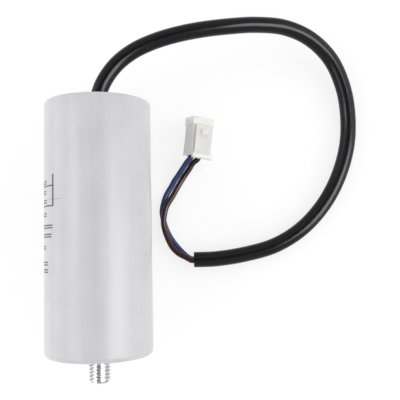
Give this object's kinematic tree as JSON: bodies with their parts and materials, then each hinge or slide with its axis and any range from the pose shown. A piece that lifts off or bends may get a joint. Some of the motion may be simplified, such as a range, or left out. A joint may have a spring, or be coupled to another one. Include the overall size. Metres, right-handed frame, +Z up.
{
  "type": "motor run capacitor",
  "caption": "Cylindrical plastic can with a threaded mounting stud in its base, holding a potted film roll, and a flexible cable that ends in a small crimp plug for a motor's circuit.",
  "frame": {"origin": "on the surface the can lies on, under the middle of the length of can and stud, below the can's axis", "axes": "+Y along the can's axis from the stud to the end the cable leaves; +Z up from the surface; +X to the side the cable and plug lie on"},
  "size_m": [0.1231, 0.1385, 0.04],
  "materials": {
    "can_plastic": "satin moulded plastic, off-white",
    "zinc_plated_steel": "bright zinc plate on a rolled thread",
    "fibre_board": "pressed insulating board, tan",
    "metallised_film": "wound polypropylene film with a vacuum-deposited metal layer",
    "tube_plastic": "extruded tube, natural",
    "sprayed_zinc": "thermally sprayed zinc, dull and grainy",
    "solder": "tin solder, smooth",
    "blue_pvc": "extruded PVC insulation, light blue",
    "brown_pvc": "extruded PVC insulation, brown",
    "copper": "bare stranded copper",
    "potting_resin": "cast two-part resin, off-white",
    "black_pvc": "extruded PVC jacket, glossy black",
    "natural_nylon": "moulded nylon, natural and slightly translucent",
    "tinned_brass": "tin-plated stamped brass"
  },
  "bodies": {
    "root": {"case": "can_plastic", "stud": "zinc_plated_steel", "insulating_disc": "fibre_board", "roll": "metallised_film", "core_tube": "tube_plastic", "lower_spray": "sprayed_zinc", "upper_spray": "sprayed_zinc", "lower_solder": "solder", "upper_solder": "solder", "blue_lead": "blue_pvc", "brown_lead": "brown_pvc", "blue_lead_strands": "copper", "brown_lead_strands": "copper", "resin": "potting_resin", "cable_jacket": "black_pvc", "blue_core": "blue_pvc", "brown_core": "brown_pvc", "plug_housing": "natural_nylon", "blue_contact": "tinned_brass", "brown_contact": "tinned_brass"}
  },
  "joints": []
}
